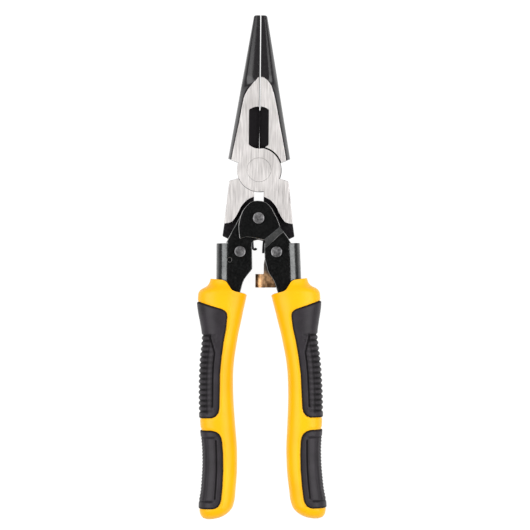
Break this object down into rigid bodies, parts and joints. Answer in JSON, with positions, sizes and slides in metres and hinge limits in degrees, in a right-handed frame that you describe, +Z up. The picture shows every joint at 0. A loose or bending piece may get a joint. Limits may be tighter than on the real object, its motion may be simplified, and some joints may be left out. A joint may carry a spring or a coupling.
{
  "type": "needle nose pliers",
  "caption": "Compound-action needle nose pliers with a wire cutter in the jaws, a return spring, a locking latch and padded grips, lying closed.",
  "frame": {"origin": "middle of the footprint, on the surface that the pliers lie on", "axes": "+Y along the tool towards the tips, +X across the tool, +Z up through the thickness"},
  "size_m": [0.057, 0.2202, 0.0168],
  "materials": {
    "jaw_steel": "ground bright on the flats, black oxide on the rounded noses",
    "black_steel": "black oxide, semi-gloss",
    "rivet_steel": "dull, mottled grey",
    "latch_plating": "copper-coloured passivated plating",
    "grip_plastic": "semi-gloss yellow",
    "pad_rubber": "matt charcoal, ribbed"
  },
  "bodies": {
    "right_jaw": {"rear_lap_jaw": "jaw_steel", "jaw_rivet": "jaw_steel"},
    "left_jaw": {"front_lap_jaw": "jaw_steel"},
    "left_handle": {"left_arm": "black_steel", "left_link_rivet": "rivet_steel", "centre_rivet": "rivet_steel", "spring_bush": "rivet_steel", "return_spring": "black_steel", "left_grip": "grip_plastic", "left_upper_pad": "pad_rubber", "left_lower_pad": "pad_rubber"},
    "right_handle": {"right_arm": "black_steel", "right_link_rivet": "rivet_steel", "right_grip": "grip_plastic", "right_upper_pad": "pad_rubber", "right_lower_pad": "pad_rubber"},
    "latch": {"latch": "latch_plating"}
  },
  "joints": [
    {"name": "jaw_pivot", "type": "hinge", "parent": "right_jaw", "child": "left_jaw", "pos_m": [-0.00215, 0.04253, 0.0084], "axis": [0, 0, 1], "range_deg": [0, 13], "deforming": ["return_spring"]},
    {"name": "left_arm_link", "type": "hinge", "parent": "right_jaw", "child": "left_handle", "pos_m": [-0.01011, 0.0069, 0.0084], "axis": [0, 0, 1], "range_deg": [-10.5, 0]},
    {"name": "right_arm_link", "type": "hinge", "parent": "left_jaw", "child": "right_handle", "pos_m": [0.00581, 0.0069, 0.0084], "axis": [0, 0, 1], "range_deg": [0, 10.5]},
    {"name": "latch_pivot", "type": "hinge", "parent": "right_handle", "child": "latch", "pos_m": [0.00581, 0.0069, 0.0084], "axis": [0, 0, -1], "range_deg": [0, 28]}
  ],
  "couplings": [
    {"joint": "left_arm_link", "follows": "jaw_pivot", "ratio": -0.806},
    {"joint": "right_arm_link", "follows": "jaw_pivot", "ratio": 0.806}
  ]
}
